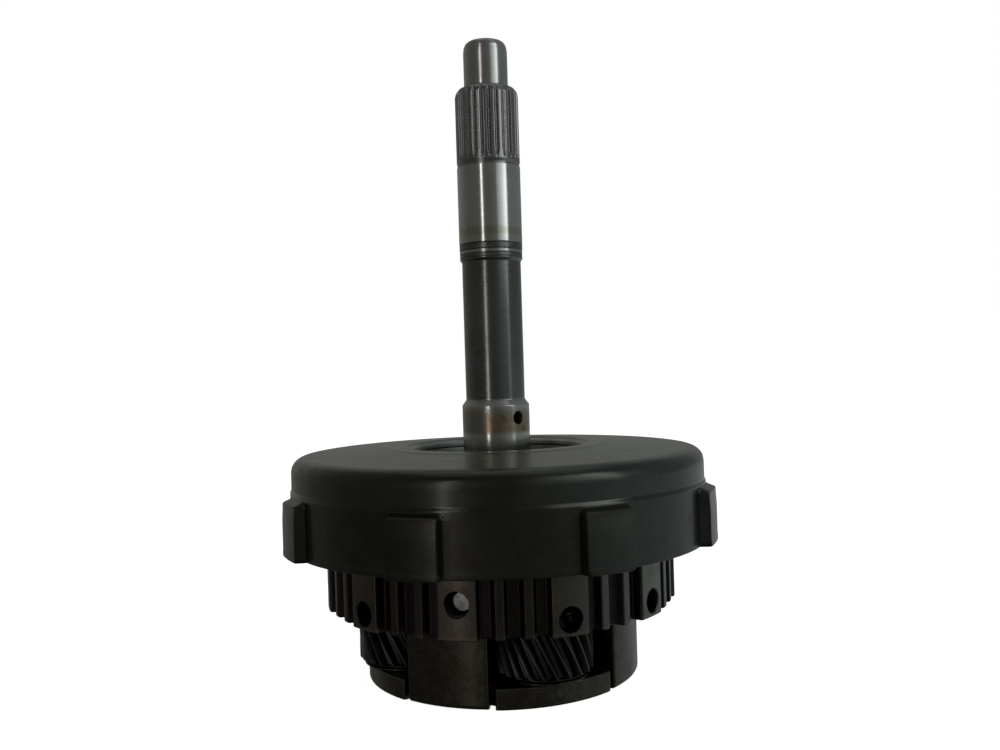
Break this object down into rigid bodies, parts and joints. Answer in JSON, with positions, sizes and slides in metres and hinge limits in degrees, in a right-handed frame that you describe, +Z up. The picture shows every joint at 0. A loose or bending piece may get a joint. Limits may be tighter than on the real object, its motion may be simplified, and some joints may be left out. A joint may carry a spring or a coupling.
{
  "type": "planetary gear set",
  "caption": "Planetary gear carrier with helical pinions, a splined clutch hub, a lugged clutch drum with its plate pack, and a long splined input shaft that drives the sun gear.",
  "frame": {"origin": "centre of the carrier plate's lower face, on the shaft axis; the set stands on that face", "axes": "+Z up along the input shaft towards its splined end; -Y is the front, where the pictured side faces the viewer; +X to the viewer's right"},
  "size_m": [0.161, 0.161, 0.2407],
  "materials": {
    "carrier_steel": "dark oiled steel",
    "hub_steel": "dark oiled steel with brown heat stain",
    "drum_steel": "pressed steel, blackened and oily",
    "shaft_steel": "turned dark shank, ground journals",
    "gear_steel": "hardened and oily",
    "ground_steel": "ground",
    "bearing_steel": "polished",
    "bronze": "worn bearing bronze",
    "friction_lining": "oil-soaked paper lining on a steel core",
    "seal_ring": "satin",
    "rubber_seal": "matt"
  },
  "bodies": {
    "carrier": {"carrier_plate": "carrier_steel", "carrier_cage": "carrier_steel", "clutch_hub": "hub_steel", "planet_pin_1": "ground_steel", "planet_pin_2": "ground_steel", "planet_pin_3": "ground_steel", "planet_pin_4": "ground_steel", "pin_lock_1": "bearing_steel", "pin_lock_2": "bearing_steel", "pin_lock_3": "bearing_steel", "pin_lock_4": "bearing_steel", "pinion_lower_steel_washer_1": "bearing_steel", "pinion_lower_steel_washer_2": "bearing_steel", "pinion_lower_steel_washer_3": "bearing_steel", "pinion_lower_steel_washer_4": "bearing_steel", "pinion_lower_bronze_washer_1": "bronze", "pinion_lower_bronze_washer_2": "bronze", "pinion_lower_bronze_washer_3": "bronze", "pinion_lower_bronze_washer_4": "bronze", "pinion_upper_washer_1": "bronze", "pinion_upper_washer_2": "bronze", "pinion_upper_washer_3": "bronze", "pinion_upper_washer_4": "bronze", "plate_bush": "bronze", "shaft_bush_lower": "bronze", "shaft_bush_upper": "bronze", "drum_retaining_ring": "bearing_steel", "drum_thrust_bearing": "bearing_steel", "sun_thrust_bearing_lower": "bearing_steel", "sun_thrust_bearing_upper": "bearing_steel", "friction_disc_1": "friction_lining", "friction_disc_2": "friction_lining", "friction_disc_3": "friction_lining"},
    "shaft": {"input_shaft": "shaft_steel", "shaft_seal_ring_upper": "seal_ring", "shaft_seal_ring_lower": "seal_ring", "sun_snap_ring": "bearing_steel", "sun_gear": "gear_steel"},
    "drum": {"clutch_drum": "drum_steel", "drum_sleeve": "drum_steel", "drum_bush": "bronze", "drum_snap_ring": "bearing_steel", "backing_plate": "ground_steel", "steel_plate_1": "ground_steel", "steel_plate_2": "ground_steel", "steel_plate_3": "ground_steel", "piston_return_spring": "bearing_steel", "spring_retainer": "ground_steel", "retainer_snap_ring": "bearing_steel"},
    "piston": {"clutch_piston": "ground_steel", "piston_inner_seal": "rubber_seal", "piston_outer_seal": "rubber_seal"},
    "planet_1": {"pinion_1": "gear_steel", "pinion_needle_bearing_1": "bearing_steel"},
    "planet_2": {"pinion_2": "gear_steel", "pinion_needle_bearing_2": "bearing_steel"},
    "planet_3": {"pinion_3": "gear_steel", "pinion_needle_bearing_3": "bearing_steel"},
    "planet_4": {"pinion_4": "gear_steel", "pinion_needle_bearing_4": "bearing_steel"}
  },
  "joints": [
    {"name": "shaft_turn", "type": "hinge", "parent": "carrier", "child": "shaft", "pos_m": [0, 0, 0.1], "axis": [0, 0, 1], "continuous": true},
    {"name": "drum_turn", "type": "hinge", "parent": "carrier", "child": "drum", "pos_m": [0, 0, 0.065], "axis": [0, 0, 1], "continuous": true},
    {"name": "piston_stroke", "type": "slide", "parent": "drum", "child": "piston", "axis": [0, 0, -1], "range_m": [0, 0.002], "stiffness_N_per_m": 4000, "springref_m": -0.01, "deforming": ["piston_return_spring"]},
    {"name": "planet_1_turn", "type": "hinge", "parent": "carrier", "child": "planet_1", "pos_m": [0.01435, -0.03605, 0.0202], "axis": [0, 0, 1], "continuous": true},
    {"name": "planet_2_turn", "type": "hinge", "parent": "carrier", "child": "planet_2", "pos_m": [0.03605, 0.01435, 0.0202], "axis": [0, 0, 1], "continuous": true},
    {"name": "planet_3_turn", "type": "hinge", "parent": "carrier", "child": "planet_3", "pos_m": [-0.01435, 0.03605, 0.0202], "axis": [0, 0, 1], "continuous": true},
    {"name": "planet_4_turn", "type": "hinge", "parent": "carrier", "child": "planet_4", "pos_m": [-0.03605, -0.01435, 0.0202], "axis": [0, 0, 1], "continuous": true}
  ],
  "couplings": [
    {"joint": "planet_1_turn", "follows": "shaft_turn", "ratio": -1.4545},
    {"joint": "planet_2_turn", "follows": "shaft_turn", "ratio": -1.4545},
    {"joint": "planet_3_turn", "follows": "shaft_turn", "ratio": -1.4545},
    {"joint": "planet_4_turn", "follows": "shaft_turn", "ratio": -1.4545}
  ]
}
